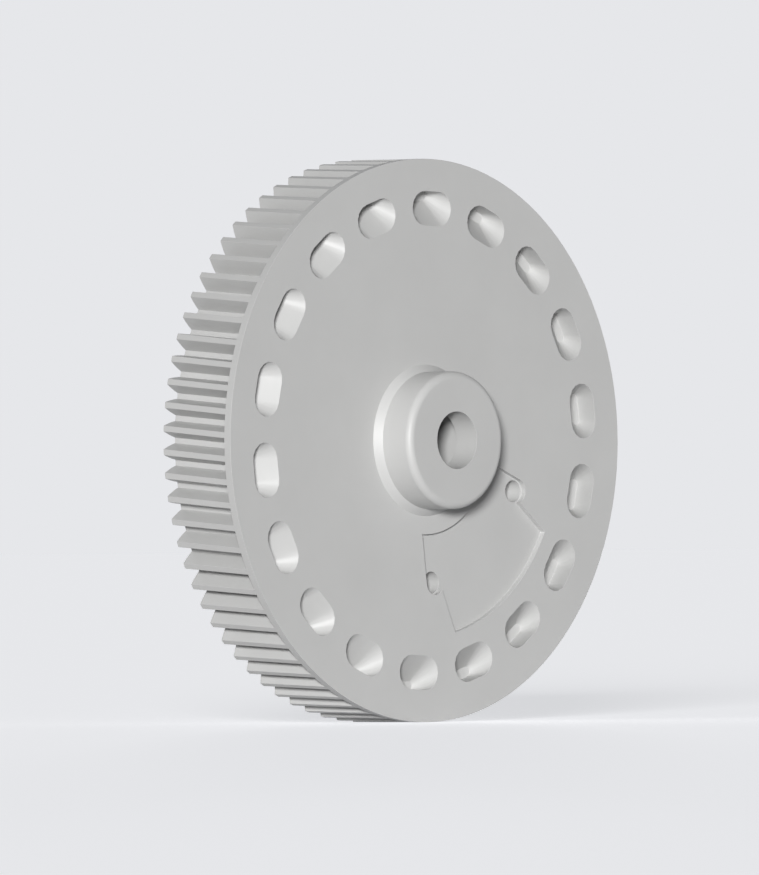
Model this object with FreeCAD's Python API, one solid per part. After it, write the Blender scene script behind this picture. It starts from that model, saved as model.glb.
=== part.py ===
import FreeCAD, Part
import math
import os

# A moulded helical gear wheel that turns on a needle roller bearing inside its hub.
# The wheel's axis is Y. The front face looks towards -Y, and the hub's long nose stands out of it.
# Angles about the axis are counted from +X towards +Z, so counter-clockwise as seen from the front.
# All lengths are in millimetres and all angles in degrees.

# Teeth
teeth = 75
normal_module = 1.0
pressure_angle = 20.0
helix_angle = 4.8
addendum = 1.0 * normal_module
dedendum = 1.25 * normal_module
first_tooth_angle = -0.47

# Rim, front flange and web
rim_width = 12.7
flange_thickness = 1.15
flange_margin = 0.05
web_thickness = 5.0
rim_wall = 2.45
draft_angle = 1.0
recess_chamfer = 0.8
rib_count = 9
rib_thickness = 1.6
rib_setback = 1.2

# Hub
barrel_diameter = 18.9
nose_length = 6.0
nose_fillet = 1.0
foot_chamfer = 0.95
lip_length = 3.9
lip_bore = 7.9
rear_boss_length = 2.0
rear_boss_chamfer = 0.5

# Front pockets
pocket_count = 18
first_pocket_angle = 7.0
pocket_rim_gap = 2.16
pocket_width = 4.74
pocket_straight = 2.86
pocket_depth = 3.3
pocket_floor_width = 1.4
pocket_floor_shift = 1.91
pocket_end_chords = 8

# Sector recess in the front face, with two pin holes
sector_depth = 0.8
sector_bisector = first_pocket_angle - 60
sector_inner_radius = 12.9
sector_inner_half_angle = 40.25
sector_outer_radius = 27.0
sector_outer_half_angle = 24.85
sector_outer_side_angle = 13.6
pin_hole_diameter = 3.0
pin_hole_radius = 19.6
pin_hole_half_angle = 31.8
pin_hole_relief = 0.2

# Needle roller bearing: inner ring, needles in their cage, and the drawn cup in the hub
inner_ring_bore = 5.0
inner_ring_diameter = 8.0
inner_ring_length = 12.0
inner_ring_chamfer = 0.3
needle_count = 12
needle_diameter = 1.5
needle_clearance = 0.02
cup_wall = 0.46
cup_length = 10.0
cup_lip_thickness = 0.5
cup_lip_gap = 0.35
cage_thickness = 1.0
cage_rim = 0.47
cage_end_gap = 0.1
window_clearance = 0.03

# Derived sizes of the teeth, in the plane across the axis
transverse_module = normal_module / math.cos(math.radians(helix_angle))
transverse_pressure = math.atan(
    math.tan(math.radians(pressure_angle)) / math.cos(math.radians(helix_angle))
)
pitch_radius = teeth * transverse_module / 2
base_radius = pitch_radius * math.cos(transverse_pressure)
tip_radius = pitch_radius + addendum
root_radius = pitch_radius - dedendum

# Derived places along the axis
front_face = -rim_width / 2
back_face = rim_width / 2
tooth_front = front_face + flange_thickness
web_back = front_face + web_thickness
nose_face = front_face - nose_length
boss_face = back_face + rear_boss_length
lip_back = nose_face + lip_length
cup_front = boss_face - cup_length
inner_ring_front = boss_face - inner_ring_length
bearing_middle = cup_front + cup_length / 2
cage_length = cup_length - 2 * (cup_lip_thickness + cage_end_gap)
window_length = cage_length - 2 * cage_rim
needle_length = window_length - 2 * window_clearance

# Derived radii
barrel_radius = barrel_diameter / 2
rim_inner_radius = root_radius - rim_wall
pocket_radius = root_radius - pocket_rim_gap - pocket_width / 2
needle_radius = needle_diameter / 2
inner_race_radius = inner_ring_diameter / 2
needle_pitch_radius = inner_race_radius + needle_clearance + needle_radius
outer_race_radius = needle_pitch_radius + needle_radius + needle_clearance
seat_radius = outer_race_radius + cup_wall

Y_AXIS = FreeCAD.Vector(0, 1, 0)
ORIGIN = FreeCAD.Vector(0, 0, 0)


def polar(radius, angle, y):
    """The point at that radius and angle about the axis."""
    turn = math.radians(angle)
    return FreeCAD.Vector(radius * math.cos(turn), y, radius * math.sin(turn))


def turned(shape, angle):
    """A copy of the shape, turned about the axis by that angle."""
    copy = shape.copy()
    copy.rotate(ORIGIN, Y_AXIS, -angle)
    return copy


def cylinder(radius, start, end):
    """A round bar on the axis from start to end."""
    return Part.makeCylinder(radius, end - start, FreeCAD.Vector(0, start, 0), Y_AXIS)


def ring(inner, outer, start, end):
    """A plain ring on the axis."""
    return cylinder(outer, start, end).cut(cylinder(inner, start, end))


def flat_face(corners):
    """A plane face on those corners."""
    return Part.Face(Part.makePolygon(corners + corners[:1]))


def revolved(points):
    """A solid of revolution from a closed outline of (radius, y) points."""
    corners = [FreeCAD.Vector(radius, y, 0) for radius, y in points]
    return flat_face(corners).revolve(ORIGIN, Y_AXIS, 360)


def circles_at(shape, radius, y):
    """The shape's round edges of that radius at that place along the axis."""
    return [
        edge
        for edge in shape.Edges
        if isinstance(edge.Curve, Part.Circle)
        and abs(edge.Curve.Radius - radius) < 1e-3
        and abs(edge.Curve.Center.y - y) < 1e-3
    ]


def involute(angle):
    """The involute function of an angle in radians."""
    return math.tan(angle) - angle


def pressure_at(radius):
    """The angle in radians between the flank and the radius through its point."""
    return math.acos(base_radius / radius)


def flank_angle(radius):
    """Half of a tooth's angular thickness at that radius, in degrees."""
    half_thickness = math.pi / (2 * teeth)
    return math.degrees(
        half_thickness + involute(transverse_pressure) - involute(pressure_at(radius))
    )


def flank(centre, side, y):
    """One flank as a smooth curve from the root up to the tip; side is -1 or 1."""
    middle = (root_radius + tip_radius) / 2
    radii = (root_radius, middle, tip_radius)
    curve = Part.BSplineCurve()
    curve.interpolate([polar(r, centre + side * flank_angle(r), y) for r in radii])
    return curve.toShape()


def chord(radius, start, end, y):
    """A straight land between two angles; tip and root lands are too short to curve."""
    return Part.makeLine(polar(radius, start, y), polar(radius, end, y))


def tooth_section(y):
    """The toothed outline across the axis at y, turned as the helix asks."""
    twist = math.degrees((back_face - y) * math.tan(math.radians(helix_angle)) / pitch_radius)
    pitch_angle = 360 / teeth
    tip_half = flank_angle(tip_radius)
    root_half = flank_angle(root_radius)
    edges = []
    for i in range(teeth):
        centre = first_tooth_angle + twist + i * pitch_angle
        next_foot = centre + pitch_angle - root_half
        edges += [
            flank(centre, -1, y),
            chord(tip_radius, centre - tip_half, centre + tip_half, y),
            flank(centre, 1, y),
            chord(root_radius, centre + root_half, next_foot, y),
        ]
    return Part.Wire(Part.__sortEdges__(edges))


def toothed_rim():
    """The helical teeth, ruled between the section behind the flange and the one at the back."""
    return Part.makeLoft([tooth_section(tooth_front), tooth_section(back_face)], True, True)


def hub():
    """The hub's nose with its rounded end and flared foot, and the rear boss."""
    barrel = cylinder(barrel_radius, nose_face, boss_face)
    barrel = barrel.makeFillet(nose_fillet, circles_at(barrel, barrel_radius, nose_face))
    barrel = barrel.makeChamfer(
        rear_boss_chamfer, circles_at(barrel, barrel_radius, boss_face)
    )
    foot = Part.makeCone(
        barrel_radius,
        barrel_radius + foot_chamfer,
        foot_chamfer,
        FreeCAD.Vector(0, front_face - foot_chamfer, 0),
        Y_AXIS,
    )
    return barrel.fuse(foot)


def back_recess():
    """The annular hollow behind the web, with draft and bevelled corners."""
    spread = (back_face - web_back) * math.tan(math.radians(draft_angle))
    inner = barrel_radius + spread
    return revolved(
        [
            (inner + recess_chamfer, web_back),
            (rim_inner_radius - recess_chamfer, web_back),
            (rim_inner_radius, web_back + recess_chamfer),
            (rim_inner_radius + spread, back_face),
            (barrel_radius, back_face),
            (inner, web_back + recess_chamfer),
        ]
    )


def rib(angle):
    """One tapered rib from the hub to the rim, behind the web."""
    height = back_face - rib_setback - web_back
    base_half = rib_thickness / 2
    edge_half = base_half - height * math.tan(math.radians(draft_angle))
    corners = [
        FreeCAD.Vector(seat_radius, web_back, -base_half),
        FreeCAD.Vector(seat_radius, web_back, base_half),
        FreeCAD.Vector(seat_radius, web_back + height, edge_half),
        FreeCAD.Vector(seat_radius, web_back + height, -edge_half),
    ]
    length = root_radius - seat_radius
    return turned(flat_face(corners).extrude(FreeCAD.Vector(length, 0, 0)), angle)


def pocket_corners(depth):
    """A pocket's outline at that depth: straight sides along the rim and ends of short chords."""
    share = depth / pocket_depth
    middle = pocket_radius + pocket_floor_shift * share
    half_width = (pocket_width + (pocket_floor_width - pocket_width) * share) / 2
    corners = []
    for end in (1, -1):
        for i in range(pocket_end_chords + 1):
            turn = math.pi * i / pocket_end_chords
            across = middle + end * half_width * math.cos(turn)
            along = end * (pocket_straight / 2 + half_width * math.sin(turn))
            corners.append(FreeCAD.Vector(across, front_face + depth, along))
    return corners


def pocket():
    """One front pocket: it narrows from its mouth to a thin floor that lies further out."""
    above_face = -0.1 * pocket_depth
    mouth = pocket_corners(above_face)
    floor = pocket_corners(pocket_depth)
    walls = [
        flat_face([mouth[i - 1], mouth[i], floor[i], floor[i - 1]]) for i in range(len(mouth))
    ]
    shell = Part.makeShell([flat_face(mouth), flat_face(floor), *walls])
    return Part.makeSolid(shell)


def sector_recess():
    """The shallow sector in the front face, with its two pin holes and their reliefs."""
    relief_radius = pin_hole_diameter / 2 + pin_hole_relief
    floor = front_face + sector_depth

    def side(sign):
        """Corner points on one side, from the inner arc to the outer one."""
        inner = polar(sector_inner_radius, sign * sector_inner_half_angle, front_face)
        outer = polar(sector_outer_radius, sign * sector_outer_half_angle, front_face)
        hole = polar(pin_hole_radius, sign * pin_hole_half_angle, front_face)
        to_hole = hole - inner
        lean = math.degrees(math.asin(relief_radius / to_hole.Length))
        bearing = math.degrees(math.atan2(to_hole.z, to_hole.x)) + sign * lean
        touch = inner + polar(to_hole.Length * math.cos(math.radians(lean)), bearing, 0)
        run = polar(1, sign * sector_outer_side_angle, 0)
        back = (outer - hole).dot(run)
        off = (outer - hole - run * back).Length
        shoulder = outer - run * (back - math.sqrt(relief_radius**2 - off**2))
        return inner, touch, shoulder, outer

    inner_a, touch_a, shoulder_a, outer_a = side(-1)
    inner_b, touch_b, shoulder_b, outer_b = side(1)
    inner_arc = Part.Arc(inner_b, polar(sector_inner_radius, 0, front_face), inner_a)
    outer_arc = Part.Arc(outer_a, polar(sector_outer_radius, 0, front_face), outer_b)
    edges = [inner_arc.toShape()]
    edges += [
        Part.makeLine(start, end)
        for start, end in ((inner_a, touch_a), (touch_a, shoulder_a), (shoulder_a, outer_a))
    ]
    edges += [outer_arc.toShape()]
    edges += [
        Part.makeLine(start, end)
        for start, end in ((outer_b, shoulder_b), (shoulder_b, touch_b), (touch_b, inner_b))
    ]
    recess = Part.Face(Part.Wire(edges)).extrude(Y_AXIS * sector_depth)
    for sign in (-1, 1):
        hole = polar(pin_hole_radius, sign * pin_hole_half_angle, front_face)
        relief = Part.makeCylinder(relief_radius, floor - front_face, hole, Y_AXIS)
        pin = Part.makeCylinder(pin_hole_diameter / 2, web_thickness, hole, Y_AXIS)
        recess = recess.fuse(relief).fuse(pin)
    return turned(recess, sector_bisector)


def gear_wheel():
    """The one-piece moulding: teeth, flange, web, hub, pockets and recesses."""
    flange = cylinder(tip_radius + flange_margin, front_face, tooth_front)
    wheel = toothed_rim().fuse([flange, hub()])
    ribs = [rib(first_pocket_angle + i * 360 / rib_count) for i in range(rib_count)]
    hollow = back_recess().cut(ribs)
    one_pocket = pocket()
    pockets = [
        turned(one_pocket, first_pocket_angle + i * 360 / pocket_count)
        for i in range(pocket_count)
    ]
    lip = cylinder(lip_bore / 2, nose_face, lip_back)
    seat = cylinder(seat_radius, lip_back, boss_face)
    wheel = wheel.cut([hollow, lip.fuse(seat), sector_recess(), *pockets])
    return wheel.removeSplitter()


def inner_ring():
    """The hardened ring on the shaft, with its two outer edges bevelled."""
    bore = inner_ring_bore / 2
    land = inner_race_radius - inner_ring_chamfer
    return revolved(
        [
            (bore, inner_ring_front),
            (land, inner_ring_front),
            (inner_race_radius, inner_ring_front + inner_ring_chamfer),
            (inner_race_radius, boss_face - inner_ring_chamfer),
            (land, boss_face),
            (bore, boss_face),
        ]
    )


def needle(angle):
    """One needle roller in its place between the races."""
    foot = polar(needle_pitch_radius, angle, bearing_middle - needle_length / 2)
    return Part.makeCylinder(needle_radius, needle_length, foot, Y_AXIS)


def needle_cage():
    """The cage: a ring with one window for each needle."""
    start = bearing_middle - cage_length / 2
    inner = needle_pitch_radius - cage_thickness / 2
    outer = needle_pitch_radius + cage_thickness / 2
    blank = ring(inner, outer, start, start + cage_length)
    width = needle_diameter + 2 * window_clearance
    corner = FreeCAD.Vector(inner_race_radius, start + cage_rim, -width / 2)
    window = Part.makeBox(outer_race_radius - inner_race_radius, window_length, width, corner)
    return blank.cut([turned(window, i * 360 / needle_count) for i in range(needle_count)])


def needle_cup():
    """The drawn cup: a thin outer race with a lip turned in at each end."""
    lip = inner_race_radius + cup_lip_gap
    end = cup_front + cup_length
    return revolved(
        [
            (lip, cup_front),
            (seat_radius, cup_front),
            (seat_radius, end),
            (lip, end),
            (lip, end - cup_lip_thickness),
            (outer_race_radius, end - cup_lip_thickness),
            (outer_race_radius, cup_front + cup_lip_thickness),
            (lip, cup_front + cup_lip_thickness),
        ]
    )


nodes = {
    "gear_wheel": gear_wheel(),
    "inner_ring": inner_ring(),
    "needle_cage": needle_cage(),
    "needle_cup": needle_cup(),
}
for i in range(needle_count):
    nodes[f"needle_{i + 1:02d}"] = needle(i * 360 / needle_count)

os.makedirs("parts", exist_ok=True)
for node, shape in nodes.items():
    shape.exportStep(f"parts/{node}.step")
    print(node, len(shape.Solids), round(shape.Volume, 3), shape.isValid())
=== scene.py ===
import math

import bmesh
import bpy
from mathutils import Matrix, Vector


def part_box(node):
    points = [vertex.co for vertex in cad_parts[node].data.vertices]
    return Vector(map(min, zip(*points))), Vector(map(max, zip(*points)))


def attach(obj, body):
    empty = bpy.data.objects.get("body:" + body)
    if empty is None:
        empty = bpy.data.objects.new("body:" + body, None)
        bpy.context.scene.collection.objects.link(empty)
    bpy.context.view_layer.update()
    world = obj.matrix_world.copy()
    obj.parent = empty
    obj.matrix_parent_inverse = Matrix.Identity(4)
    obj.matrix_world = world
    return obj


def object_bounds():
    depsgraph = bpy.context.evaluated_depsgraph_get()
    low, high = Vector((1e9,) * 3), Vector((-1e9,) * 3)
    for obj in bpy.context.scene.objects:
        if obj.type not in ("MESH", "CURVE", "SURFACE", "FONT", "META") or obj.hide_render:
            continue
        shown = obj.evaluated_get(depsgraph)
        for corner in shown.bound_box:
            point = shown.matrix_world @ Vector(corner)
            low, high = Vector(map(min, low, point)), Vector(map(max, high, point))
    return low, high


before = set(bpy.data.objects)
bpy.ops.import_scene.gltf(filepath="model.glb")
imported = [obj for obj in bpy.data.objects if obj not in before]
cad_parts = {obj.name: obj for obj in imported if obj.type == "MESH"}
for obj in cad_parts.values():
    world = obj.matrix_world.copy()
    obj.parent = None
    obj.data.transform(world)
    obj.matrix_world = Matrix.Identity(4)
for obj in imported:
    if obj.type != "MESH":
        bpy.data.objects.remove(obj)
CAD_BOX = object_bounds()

bl_info = {
    "name": "Helical gear wheel",
    "version": (1, 0, 0),
    "blender": (4, 5, 0),
    "location": "View3D > Sidebar > Gear",
    "description": "Finishes a moulded helical gear wheel and its needle bearing",
    "category": "Object",
}

# The wheel's axis is Y, its front face looks towards -Y, and angles count from +X towards +Z
MM = 0.001
AXIS = Vector((0, 1, 0))
UP = Vector((0, 0, 1))

# Sizes of the moulding, and its places counted from the nose's end and the flange's edge
NOSE_LENGTH = 6 * MM
FLANGE_THICKNESS = 1.15 * MM
FLANGE_MARGIN = 0.05 * MM
WEB_THICKNESS = 5 * MM
TOOTH_DEPTH = 2.25 * MM
NOSE_CORNER, REAR_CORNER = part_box("gear_wheel")
FRONT_FACE = NOSE_CORNER.y + NOSE_LENGTH
TOOTH_FRONT = FRONT_FACE + FLANGE_THICKNESS
WEB_BACK = FRONT_FACE + WEB_THICKNESS
TIP_RADIUS = REAR_CORNER.x - FLANGE_MARGIN
ROOT_RADIUS = TIP_RADIUS - TOOTH_DEPTH

# Bays behind the web, each with an ejector pin's mark, and every third one with a gate's mark
BAY_COUNT = 9
FIRST_BAY = math.radians(27)
BAYS_PER_GATE = 3

# The marks reach into the web, so that no gap shows under them
MARK_ROOT = 0.1 * MM
PIN_ROUNDING = 0.05 * MM

# A gate's torn stub, as shares of its radius and its height
STUB_PROFILE = ((1.0, 0.1), (0.7, 0.6), (0.45, 1.0))

# Bends up to this angle are shaded smooth, and edges past it are rounded
EDGE_ANGLE = math.radians(32)
WELD_DISTANCE = 0.001 * MM

# The plastics' roughness, from 0 for a mirror to 1 for matt, and their refraction
MOULDED_ROUGHNESS = 0.48
RUBBED_ROUGHNESS = 0.45
NYLON_ROUGHNESS = 0.55
ACETAL_IOR = 1.48
NYLON_IOR = 1.53

# Smudges on the steel, and the shares of its roughness at their brightest and dullest
SMUDGE_SIZE = 2.5 * MM
SMUDGE_SPREAD = (0.85, 1.2)

# Glass fibres in the nylon; the real 0.01 mm is drawn wider so that it shows
FIBRE_SIZE = 0.15 * MM

# The photograph's frame: a parallel view that a very long lens stands in for
PICTURE = (759, 875)
MM_PER_PIXEL = 0.13727
AXIS_PIXEL = (425.34, 440.46)
VIEW_TURN = math.radians(46.483)
VIEW_ROLL = math.radians(0.466)
SENSOR_WIDTH = 36.0

# The stage, in metres; the view reaches past the floor's far edge from every side
VIEW_DEPTH = 30.0
FLOOR_RADIUS = 6.0
FLOOR_SIDES = 96
FLOOR_GAP = 0.01 * MM


def hex_colour(code):
    """An sRGB hex value as linear red, green and blue."""
    channels = [int(code[i : i + 2], 16) / 255 for i in (1, 3, 5)]
    return tuple(c / 12.92 if c <= 0.04045 else ((c + 0.055) / 1.055) ** 2.4 for c in channels)


def opaque(colour):
    """A colour with full alpha, as the sockets want it."""
    return (*colour, 1.0)


def polar(radius, turn, y):
    """The point at that radius and angle about the wheel's axis."""
    return Vector((radius * math.cos(turn), y, radius * math.sin(turn)))


def level(turn):
    """The horizontal direction at that angle from the wheel's front, counted towards -X."""
    return Vector((-math.sin(turn), -math.cos(turn), 0))


def add_node(tree, kind, inputs=None, **settings):
    """Adds one node with its settings; each input is a value or a socket to link."""
    node = tree.nodes.new(kind)
    for name, value in settings.items():
        setattr(node, name, value)
    for name, value in (inputs or {}).items():
        if isinstance(value, bpy.types.NodeSocket):
            tree.links.new(value, node.inputs[name])
        else:
            node.inputs[name].default_value = value
    return node


def new_material(name):
    """An empty node material and its tree."""
    material = bpy.data.materials.new(name)
    material.use_nodes = True
    material.node_tree.nodes.clear()
    return material, material.node_tree


def finish_surface(tree, shader):
    """Links the shader to the material's output."""
    add_node(tree, "ShaderNodeOutputMaterial", {"Surface": shader.outputs[0]})


def axis_distance(tree, parts):
    """A socket with the distance from the wheel's axis, from a point's separate X, Y and Z."""
    across = add_node(
        tree, "ShaderNodeCombineXYZ", {"X": parts.outputs["X"], "Y": parts.outputs["Z"]}
    )
    length = add_node(
        tree, "ShaderNodeVectorMath", {"Vector": across.outputs["Vector"]}, operation="LENGTH"
    )
    return length.outputs["Value"]


def moulded_acetal(settings):
    """Light grey acetal, injection moulded in a spark-eroded tool.

    It gives a soft, slightly waxy sheen, a fine even grain, faint clouds where the melt flowed,
    and tooth flanks that have been rubbed a little smoother than the rest.
    """
    material, tree = new_material("moulded_light_grey_acetal")
    place = add_node(tree, "ShaderNodeTexCoord").outputs["Object"]
    clouds = add_node(
        tree,
        "ShaderNodeTexNoise",
        {"Vector": place, "Scale": 1 / settings.flow_cloud_size, "Detail": 3.0, "Roughness": 0.55},
    )
    tint = add_node(
        tree,
        "ShaderNodeMix",
        {
            "Factor": clouds.outputs["Fac"],
            "A": opaque(settings.plastic_dark),
            "B": opaque(settings.plastic_light),
        },
        data_type="RGBA",
    )
    parts = add_node(tree, "ShaderNodeSeparateXYZ", {"Vector": place})
    on_teeth = add_node(
        tree,
        "ShaderNodeMath",
        {0: parts.outputs["Y"], 1: TOOTH_FRONT},
        operation="GREATER_THAN",
    )
    reach = add_node(
        tree,
        "ShaderNodeMapRange",
        {"Value": axis_distance(tree, parts), "From Min": ROOT_RADIUS, "From Max": TIP_RADIUS},
    )
    rubbed = add_node(
        tree,
        "ShaderNodeMath",
        {0: on_teeth.outputs["Value"], 1: reach.outputs["Result"]},
        operation="MULTIPLY",
    )
    worn = add_node(
        tree,
        "ShaderNodeMapRange",
        {
            "Value": rubbed.outputs["Value"],
            "To Min": MOULDED_ROUGHNESS,
            "To Max": RUBBED_ROUGHNESS,
        },
    )
    grain = add_node(
        tree,
        "ShaderNodeTexNoise",
        {"Vector": place, "Scale": 1 / settings.plastic_grain, "Detail": 2.0},
    )
    relief = add_node(
        tree,
        "ShaderNodeBump",
        {"Height": grain.outputs["Fac"], "Strength": 0.25, "Distance": 0.02 * MM},
    )
    shader = add_node(
        tree,
        "ShaderNodeBsdfPrincipled",
        {
            "Base Color": tint.outputs["Result"],
            "Roughness": worn.outputs["Result"],
            "Normal": relief.outputs["Normal"],
            "IOR": ACETAL_IOR,
        },
    )
    finish_surface(tree, shader)
    return material


def turned_steel(name, colour, roughness, line_pitch, line_strength):
    """Bare steel with fine rings about the wheel's axis and a few dull smudges.

    The rings are left by grinding, drawing or lapping. The real ones lie some hundredths of a
    millimetre apart, and line_pitch draws them wider so that they show.
    """
    material, tree = new_material(name)
    place = add_node(tree, "ShaderNodeTexCoord").outputs["Object"]
    parts = add_node(tree, "ShaderNodeSeparateXYZ", {"Vector": place})
    along = add_node(
        tree,
        "ShaderNodeMath",
        {0: axis_distance(tree, parts), 1: parts.outputs["Y"]},
        operation="ADD",
    )
    lines = add_node(
        tree,
        "ShaderNodeTexNoise",
        {"W": along.outputs["Value"], "Scale": 1 / line_pitch, "Detail": 2.0},
        noise_dimensions="1D",
    )
    relief = add_node(
        tree,
        "ShaderNodeBump",
        {"Height": lines.outputs["Fac"], "Strength": line_strength, "Distance": 0.005 * MM},
    )
    smudge = add_node(
        tree, "ShaderNodeTexNoise", {"Vector": place, "Scale": 1 / SMUDGE_SIZE, "Detail": 3.0}
    )
    brightest, dullest = SMUDGE_SPREAD
    sheen = add_node(
        tree,
        "ShaderNodeMapRange",
        {
            "Value": smudge.outputs["Fac"],
            "From Min": 0.3,
            "From Max": 0.7,
            "To Min": brightest * roughness,
            "To Max": dullest * roughness,
        },
    )
    shader = add_node(
        tree,
        "ShaderNodeBsdfPrincipled",
        {
            "Base Color": opaque(colour),
            "Metallic": 1.0,
            "Roughness": sheen.outputs["Result"],
            "Normal": relief.outputs["Normal"],
        },
    )
    finish_surface(tree, shader)
    return material


def glass_filled_nylon(settings):
    """Black nylon moulded with short glass fibres: nearly matt, with a few pale flecks."""
    material, tree = new_material("glass_filled_black_nylon")
    place = add_node(tree, "ShaderNodeTexCoord").outputs["Object"]
    fibres = add_node(
        tree, "ShaderNodeTexNoise", {"Vector": place, "Scale": 1 / FIBRE_SIZE, "Detail": 2.0}
    )
    fleck = add_node(
        tree,
        "ShaderNodeMapRange",
        {"Value": fibres.outputs["Fac"], "From Min": 0.55, "From Max": 0.8},
    )
    tint = add_node(
        tree,
        "ShaderNodeMix",
        {
            "Factor": fleck.outputs["Result"],
            "A": opaque(settings.cage_colour),
            "B": opaque(settings.fibre_colour),
        },
        data_type="RGBA",
    )
    relief = add_node(
        tree,
        "ShaderNodeBump",
        {"Height": fibres.outputs["Fac"], "Strength": 0.3, "Distance": 0.01 * MM},
    )
    shader = add_node(
        tree,
        "ShaderNodeBsdfPrincipled",
        {
            "Base Color": tint.outputs["Result"],
            "Roughness": NYLON_ROUGHNESS,
            "Normal": relief.outputs["Normal"],
            "IOR": NYLON_IOR,
        },
    )
    finish_surface(tree, shader)
    return material


def seen_rays(tree):
    """A socket that is 1 for rays that see or mirror a surface, and 0 for rays that only light."""
    path = add_node(tree, "ShaderNodeLightPath")
    seen = path.outputs["Is Camera Ray"]
    for kind in ("Is Glossy Ray", "Is Transmission Ray"):
        either = add_node(
            tree, "ShaderNodeMath", {0: seen, 1: path.outputs[kind]}, operation="MAXIMUM"
        )
        seen = either.outputs["Value"]
    return seen


def studio_card(settings):
    """Matt pale card for the floor.

    Seen directly it is lifted by what the lamps leave missing to the background's colour, so
    that only shadows and bounced light set it off from the background.
    """
    material, tree = new_material("pale_studio_card")
    lit = settings.sky_strength + sum(
        strength * math.sin(elevation) / math.pi
        for strength, elevation in (
            (settings.key_strength, settings.key_elevation),
            (settings.fill_strength, settings.fill_elevation),
        )
    )
    missing = [
        max(0.0, backdrop - card * lit)
        for backdrop, card in zip(settings.backdrop_colour, settings.card_colour)
    ]
    matt = add_node(tree, "ShaderNodeBsdfDiffuse", {"Color": opaque(settings.card_colour)})
    lift = add_node(
        tree, "ShaderNodeEmission", {"Color": opaque(missing), "Strength": seen_rays(tree)}
    )
    both = add_node(tree, "ShaderNodeAddShader", {0: matt.outputs[0], 1: lift.outputs[0]})
    finish_surface(tree, both)
    return material


def dress(name, material):
    """Gives a CAD node its material."""
    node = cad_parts[name]
    for slot in node.material_slots:
        slot.material = material
    return node


def smooth_bends():
    """The node group that shades every bend up to the edge angle as one smooth form."""
    name = "smooth_bends"
    if name in bpy.data.node_groups:
        return bpy.data.node_groups[name]
    group = bpy.data.node_groups.new(name, "GeometryNodeTree")
    group.is_modifier = True
    for way in ("INPUT", "OUTPUT"):
        group.interface.new_socket("Geometry", in_out=way, socket_type="NodeSocketGeometry")
    source = add_node(group, "NodeGroupInput")
    bend = add_node(group, "GeometryNodeInputMeshEdgeAngle")
    sharp = add_node(
        group,
        "FunctionNodeCompare",
        {0: bend.outputs["Unsigned Angle"], 1: EDGE_ANGLE},
        operation="GREATER_THAN",
    )
    shaded = add_node(
        group,
        "GeometryNodeSetMeshNormal",
        {
            "Mesh": source.outputs["Geometry"],
            "Remove Custom": True,
            "Edge Sharpness": sharp.outputs["Result"],
        },
        mode="SHARPNESS",
    )
    add_node(group, "NodeGroupOutput", {"Geometry": shaded.outputs["Mesh"]})
    return group


def round_edges(node, width):
    """Rounds a node's sharp edges with modifiers, which leave its own mesh as it is."""
    weld = node.modifiers.new("close_seams", "WELD")
    weld.merge_threshold = WELD_DISTANCE
    node.modifiers.new("smooth_bends", "NODES").node_group = smooth_bends()
    bevel = node.modifiers.new("edge_rounding", "BEVEL")
    bevel.width = width
    bevel.segments = 2
    bevel.limit_method = "ANGLE"
    bevel.angle_limit = EDGE_ANGLE
    bevel.use_clamp_overlap = True
    bevel.harden_normals = True
    # Large flat faces keep their own shading beside a fillet
    flat = node.modifiers.new("flat_faces", "WEIGHTED_NORMAL")
    flat.mode = "FACE_AREA_WITH_ANGLE"
    flat.keep_sharp = True


def lathe(mesh, profile, centre, sides=32):
    """Adds a small round form to the mesh: the profile's (radius, height) points about centre."""
    rings = [
        [
            mesh.verts.new(centre + polar(radius, math.tau * i / sides, height))
            for i in range(sides)
        ]
        for radius, height in profile
    ]
    for lower, upper in zip(rings, rings[1:]):
        for i in range(sides):
            j = (i + 1) % sides
            mesh.faces.new((lower[i], lower[j], upper[j], upper[i]))
    mesh.faces.new(rings[0])
    mesh.faces.new(list(reversed(rings[-1])))


def new_piece(name, mesh):
    """A new object from bmesh data."""
    bmesh.ops.recalc_face_normals(mesh, faces=mesh.faces)
    data = bpy.data.meshes.new(name)
    mesh.to_mesh(data)
    mesh.free()
    piece = bpy.data.objects.new(name, data)
    bpy.context.scene.collection.objects.link(piece)
    return piece


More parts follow.
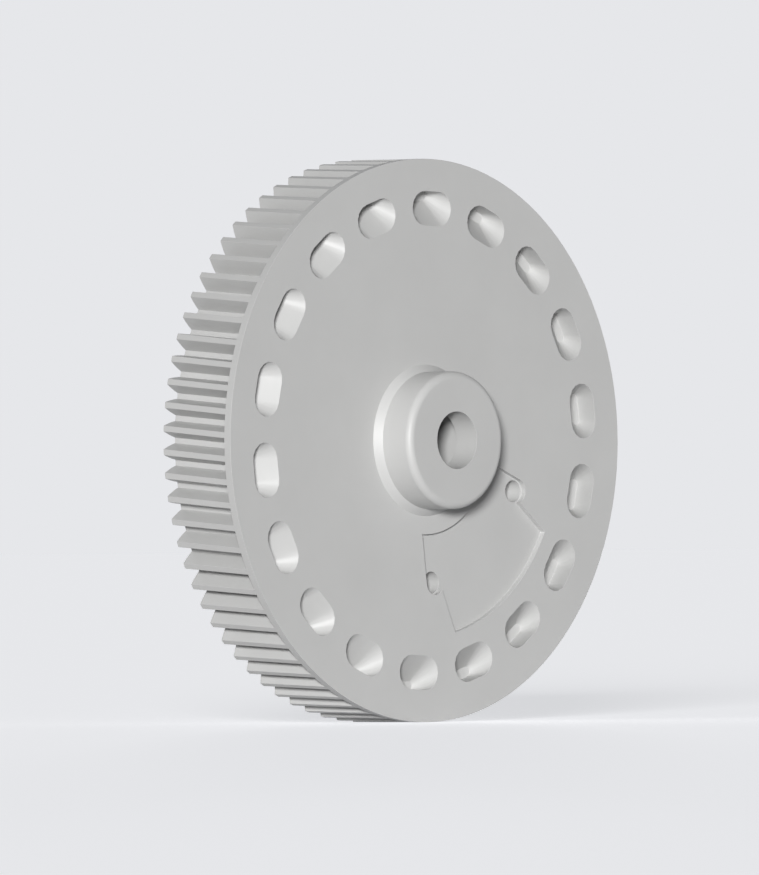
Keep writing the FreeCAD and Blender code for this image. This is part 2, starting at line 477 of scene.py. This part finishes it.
class GearWheelSettings(bpy.types.PropertyGroup):
    """Sizes and colours of the moulded wheel."""

    edge_rounding: bpy.props.FloatProperty(
        name="Edge rounding",
        description="Width of the rounding on the moulding's edges",
        default=0.08 * MM,
        min=0.0,
        precision=6,
        unit="LENGTH",
    )
    plastic_light: bpy.props.FloatVectorProperty(
        name="Plastic, light",
        description="Lighter tone of the grey acetal",
        default=hex_colour("#BDBDBC"),
        subtype="COLOR",
    )
    plastic_dark: bpy.props.FloatVectorProperty(
        name="Plastic, dark",
        description="Darker tone of the grey acetal",
        default=hex_colour("#B5B5B4"),
        subtype="COLOR",
    )
    flow_cloud_size: bpy.props.FloatProperty(
        name="Flow clouds",
        description="Size of the faint clouds that the melt leaves",
        default=9 * MM,
        unit="LENGTH",
    )
    plastic_grain: bpy.props.FloatProperty(
        name="Plastic grain",
        description="Grain of the eroded tool; the real 0.06 mm is drawn wider so that it shows",
        default=0.3 * MM,
        precision=6,
        unit="LENGTH",
    )
    pin_diameter: bpy.props.FloatProperty(
        name="Ejector pin",
        description="Diameter of the ejector pins' marks on the web's back",
        default=3 * MM,
        unit="LENGTH",
    )
    pin_rise: bpy.props.FloatProperty(
        name="Ejector pin's height",
        description="How far the ejector pins' marks stand out of the web",
        default=0.06 * MM,
        precision=6,
        unit="LENGTH",
    )
    pin_circle: bpy.props.FloatProperty(
        name="Ejector circle",
        description="Distance of the ejector pins from the wheel's axis",
        default=27.5 * MM,
        unit="LENGTH",
    )
    gate_diameter: bpy.props.FloatProperty(
        name="Gate",
        description="Diameter of the pin gates' marks on the web's back",
        default=1.2 * MM,
        unit="LENGTH",
    )
    gate_rise: bpy.props.FloatProperty(
        name="Gate's height",
        description="How far the gates' torn stubs stand out of the web",
        default=0.2 * MM,
        precision=6,
        unit="LENGTH",
    )
    gate_circle: bpy.props.FloatProperty(
        name="Gate circle",
        description="Distance of the gates from the wheel's axis",
        default=15.5 * MM,
        unit="LENGTH",
    )


class BearingSettings(bpy.types.PropertyGroup):
    """Edges and colours of the needle bearing."""

    edge_rounding: bpy.props.FloatProperty(
        name="Edge rounding",
        description="Width of the rounding on the bearing's edges",
        default=0.05 * MM,
        min=0.0,
        precision=6,
        unit="LENGTH",
    )
    race_colour: bpy.props.FloatVectorProperty(
        name="Ring steel",
        description="Ground bearing steel of the inner ring",
        default=hex_colour("#C4C4C4"),
        subtype="COLOR",
    )
    cup_colour: bpy.props.FloatVectorProperty(
        name="Cup steel",
        description="Case-hardened sheet steel of the drawn cup",
        default=hex_colour("#8C8C8D"),
        subtype="COLOR",
    )
    needle_colour: bpy.props.FloatVectorProperty(
        name="Needle steel",
        description="Lapped bearing steel of the needles",
        default=hex_colour("#DADADA"),
        subtype="COLOR",
    )
    cage_colour: bpy.props.FloatVectorProperty(
        name="Cage nylon",
        description="Black glass-filled nylon of the cage",
        default=hex_colour("#1E1D1C"),
        subtype="COLOR",
    )
    fibre_colour: bpy.props.FloatVectorProperty(
        name="Glass fibres",
        description="Pale flecks of glass in the cage's nylon",
        default=hex_colour("#4A4845"),
        subtype="COLOR",
    )


class StageSettings(bpy.types.PropertyGroup):
    """Floor, light and camera."""

    card_colour: bpy.props.FloatVectorProperty(
        name="Card",
        description="Pale card of the floor",
        default=hex_colour("#E2E2E4"),
        subtype="COLOR",
    )
    backdrop_colour: bpy.props.FloatVectorProperty(
        name="Backdrop",
        description="Pale background behind the wheel",
        default=hex_colour("#E6E7EA"),
        subtype="COLOR",
    )
    sky_strength: bpy.props.FloatProperty(
        name="Sky",
        description="Even light from all sides",
        default=0.03,
    )
    key_strength: bpy.props.FloatProperty(
        name="Key light",
        description="Strength of the soft light beside the camera",
        default=4.1,
    )
    key_elevation: bpy.props.FloatProperty(
        name="Key height",
        description="Height of the key light above the horizon",
        default=math.radians(7),
        subtype="ANGLE",
    )
    key_aside: bpy.props.FloatProperty(
        name="Key aside",
        description="Angle of the key light to the left of the camera",
        default=math.radians(3),
        subtype="ANGLE",
    )
    key_width: bpy.props.FloatProperty(
        name="Key width",
        description="Width of the key light as the wheel sees it",
        default=math.radians(9),
        subtype="ANGLE",
    )
    fill_strength: bpy.props.FloatProperty(
        name="Fill light",
        description="Strength of the soft light behind the wheel",
        default=4.3,
    )
    fill_elevation: bpy.props.FloatProperty(
        name="Fill height",
        description="Height of the fill light above the horizon",
        default=math.radians(2),
        subtype="ANGLE",
    )
    fill_width: bpy.props.FloatProperty(
        name="Fill width",
        description="Width of the fill light as the wheel sees it",
        default=math.radians(8),
        subtype="ANGLE",
    )
    camera_distance: bpy.props.FloatProperty(
        name="Camera distance",
        description="Distance from the wheel to the camera",
        default=4.0,
        unit="LENGTH",
    )


class GEAR_OT_wheel(bpy.types.Operator):
    """Finish the moulded wheel in light grey acetal with rounded edges"""

    bl_idname = "gear.wheel"
    bl_label = "Gear wheel"

    def execute(self, context):
        settings = context.scene.gear_wheel
        wheel = dress("gear_wheel", moulded_acetal(settings))
        round_edges(wheel, settings.edge_rounding)
        return {"FINISHED"}


class GEAR_OT_tool_marks(bpy.types.Operator):
    """Add the ejector pins' and gates' marks behind the web, in the wheel's plastic"""

    bl_idname = "gear.tool_marks"
    bl_label = "Tool marks"

    def execute(self, context):
        settings = context.scene.gear_wheel
        pin = settings.pin_diameter / 2
        coin = [
            (pin, -MARK_ROOT),
            (pin, settings.pin_rise / 2),
            (pin - PIN_ROUNDING, settings.pin_rise),
        ]
        gate = settings.gate_diameter / 2
        stub = [(gate, -MARK_ROOT)]
        stub += [(gate * width, settings.gate_rise * height) for width, height in STUB_PROFILE]
        mesh = bmesh.new()
        for bay in range(BAY_COUNT):
            turn = FIRST_BAY + math.tau * bay / BAY_COUNT
            lathe(mesh, coin, polar(settings.pin_circle, turn, WEB_BACK))
            if bay % BAYS_PER_GATE == 0:
                lathe(mesh, stub, polar(settings.gate_circle, turn, WEB_BACK))
        marks = new_piece("tool_marks", mesh)
        marks.data.materials.append(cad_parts["gear_wheel"].material_slots[0].material)
        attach(marks, "wheel")
        return {"FINISHED"}


class GEAR_OT_inner_ring(bpy.types.Operator):
    """Finish the inner ring in ground bearing steel, even and fairly bright"""

    bl_idname = "gear.inner_ring"
    bl_label = "Inner ring"

    def execute(self, context):
        settings = context.scene.gear_bearing
        steel = turned_steel(
            "ground_bearing_steel",
            settings.race_colour,
            roughness=0.24,
            line_pitch=0.08 * MM,
            line_strength=0.35,
        )
        round_edges(dress("inner_ring", steel), settings.edge_rounding)
        return {"FINISHED"}


class GEAR_OT_cup(bpy.types.Operator):
    """Finish the drawn cup in satin case-hardened steel, darker than the ring"""

    bl_idname = "gear.cup"
    bl_label = "Needle cup"

    def execute(self, context):
        settings = context.scene.gear_bearing
        steel = turned_steel(
            "drawn_case_hardened_steel",
            settings.cup_colour,
            roughness=0.38,
            line_pitch=0.2 * MM,
            line_strength=0.2,
        )
        round_edges(dress("needle_cup", steel), settings.edge_rounding)
        return {"FINISHED"}


class GEAR_OT_rollers(bpy.types.Operator):
    """Finish the needles in bright lapped steel and their cage in black nylon"""

    bl_idname = "gear.rollers"
    bl_label = "Needles and cage"

    def execute(self, context):
        settings = context.scene.gear_bearing
        steel = turned_steel(
            "lapped_needle_steel",
            settings.needle_colour,
            roughness=0.14,
            line_pitch=0.05 * MM,
            line_strength=0.1,
        )
        for name in sorted(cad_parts):
            if name.startswith("needle_") and name[-2:].isdigit():
                round_edges(dress(name, steel), settings.edge_rounding)
        dress("needle_cage", glass_filled_nylon(settings))
        return {"FINISHED"}


class GEAR_OT_stage(bpy.types.Operator):
    """Set up the floor, the background, the lamps and the camera"""

    bl_idname = "gear.stage"
    bl_label = "Stage"

    def execute(self, context):
        scene = context.scene
        settings = scene.gear_stage
        to_camera = level(VIEW_TURN)
        self.make_floor(settings)
        self.make_world(scene, settings)
        self.make_key(scene, settings)
        self.make_fill(scene, settings, to_camera)
        self.make_camera(scene, settings, to_camera)
        scene.view_settings.view_transform = "Standard"
        return {"FINISHED"}

    def make_floor(self, settings):
        """A wide flat card just under the wheel's lowest teeth."""
        mesh = bmesh.new()
        bmesh.ops.create_circle(mesh, cap_ends=True, segments=FLOOR_SIDES, radius=FLOOR_RADIUS)
        floor = new_piece("floor_card", mesh)
        floor.location.z = CAD_BOX[0][2] - FLOOR_GAP
        floor.data.materials.append(studio_card(settings))

    def make_world(self, scene, settings):
        """Even light, with the backdrop's colour where one looks past the floor."""
        world = bpy.data.worlds.new("pale_studio")
        world.use_nodes = True
        tree = world.node_tree
        tree.nodes.clear()
        sky = add_node(
            tree,
            "ShaderNodeBackground",
            {"Color": (1.0, 1.0, 1.0, 1.0), "Strength": settings.sky_strength},
        )
        backdrop = add_node(
            tree,
            "ShaderNodeBackground",
            {"Color": opaque(settings.backdrop_colour), "Strength": 1.0},
        )
        mix = add_node(
            tree,
            "ShaderNodeMixShader",
            {0: seen_rays(tree), 1: sky.outputs[0], 2: backdrop.outputs[0]},
        )
        add_node(tree, "ShaderNodeOutputWorld", {"Surface": mix.outputs[0]})
        scene.world = world

    def make_key(self, scene, settings):
        """The soft light beside the camera."""
        towards = level(VIEW_TURN + settings.key_aside)
        key = self.make_lamp(scene, "key_lamp", towards, settings.key_elevation)
        key.data.energy = settings.key_strength
        key.data.angle = settings.key_width

    def make_fill(self, scene, settings, to_camera):
        """The soft light opposite the camera, for the wheel's back."""
        fill = self.make_lamp(scene, "fill_lamp", -to_camera, settings.fill_elevation)
        fill.data.energy = settings.fill_strength
        fill.data.angle = settings.fill_width
        # Mirrored in the teeth and the bearing, so low a lamp would burn them out
        fill.visible_glossy = False

    def make_lamp(self, scene, name, towards, elevation):
        """A distant lamp on that side of the wheel, at that height above the horizon."""
        direction = towards * math.cos(elevation) + UP * math.sin(elevation)
        lamp = bpy.data.objects.new(name, bpy.data.lights.new(name, "SUN"))
        lamp.rotation_euler = direction.to_track_quat("Z", "Y").to_euler()
        scene.collection.objects.link(lamp)
        return lamp

    def make_camera(self, scene, settings, to_camera):
        """The photograph's view, with the wheel's axis at the same place in the frame."""
        distance = settings.camera_distance
        right = UP.cross(to_camera)
        image_right = right * math.cos(VIEW_ROLL) - UP * math.sin(VIEW_ROLL)
        image_up = UP * math.cos(VIEW_ROLL) + right * math.sin(VIEW_ROLL)
        off_right = (AXIS_PIXEL[0] - PICTURE[0] / 2) * MM_PER_PIXEL * MM
        off_down = (AXIS_PIXEL[1] - PICTURE[1] / 2) * MM_PER_PIXEL * MM
        target = AXIS * FRONT_FACE - image_right * off_right + image_up * off_down
        data = bpy.data.cameras.new("photo_view")
        # The sensor's width spans the picture's longer side
        data.sensor_width = SENSOR_WIDTH
        data.lens = SENSOR_WIDTH * distance / (max(PICTURE) * MM_PER_PIXEL * MM)
        data.clip_end = VIEW_DEPTH
        camera = bpy.data.objects.new("photo_view", data)
        columns = (image_right, image_up, to_camera)
        turn = Matrix([[column[row] for column in columns] for row in range(3)])
        camera.matrix_world = (
            Matrix.Translation(target + to_camera * distance) @ turn.to_4x4()
        )
        scene.collection.objects.link(camera)
        scene.camera = camera


OPERATORS = (
    GEAR_OT_wheel,
    GEAR_OT_tool_marks,
    GEAR_OT_inner_ring,
    GEAR_OT_cup,
    GEAR_OT_rollers,
    GEAR_OT_stage,
)

SETTINGS = {
    "gear_wheel": GearWheelSettings,
    "gear_bearing": BearingSettings,
    "gear_stage": StageSettings,
}


class GEAR_PT_panel(bpy.types.Panel):
    """Lists the steps that finish the wheel, with their settings"""

    bl_label = "Helical gear wheel"
    bl_idname = "GEAR_PT_panel"
    bl_space_type = "VIEW_3D"
    bl_region_type = "UI"
    bl_category = "Gear"

    def draw(self, context):
        for operator in OPERATORS:
            self.layout.operator(operator.bl_idname)
        for name, group in SETTINGS.items():
            box = self.layout.box()
            for setting in group.__annotations__:
                box.prop(getattr(context.scene, name), setting)


def register():
    for name, group in SETTINGS.items():
        bpy.utils.register_class(group)
        setattr(bpy.types.Scene, name, bpy.props.PointerProperty(type=group))
    for operator in (*OPERATORS, GEAR_PT_panel):
        bpy.utils.register_class(operator)


def unregister():
    for operator in reversed((*OPERATORS, GEAR_PT_panel)):
        bpy.utils.unregister_class(operator)
    for name, group in SETTINGS.items():
        delattr(bpy.types.Scene, name)
        bpy.utils.unregister_class(group)


def main():
    register()
    bpy.ops.gear.stage()
    bpy.ops.gear.wheel()
    bpy.ops.gear.tool_marks()
    bpy.ops.gear.inner_ring()
    bpy.ops.gear.cup()
    bpy.ops.gear.rollers()


if __name__ == "__main__":
    main()
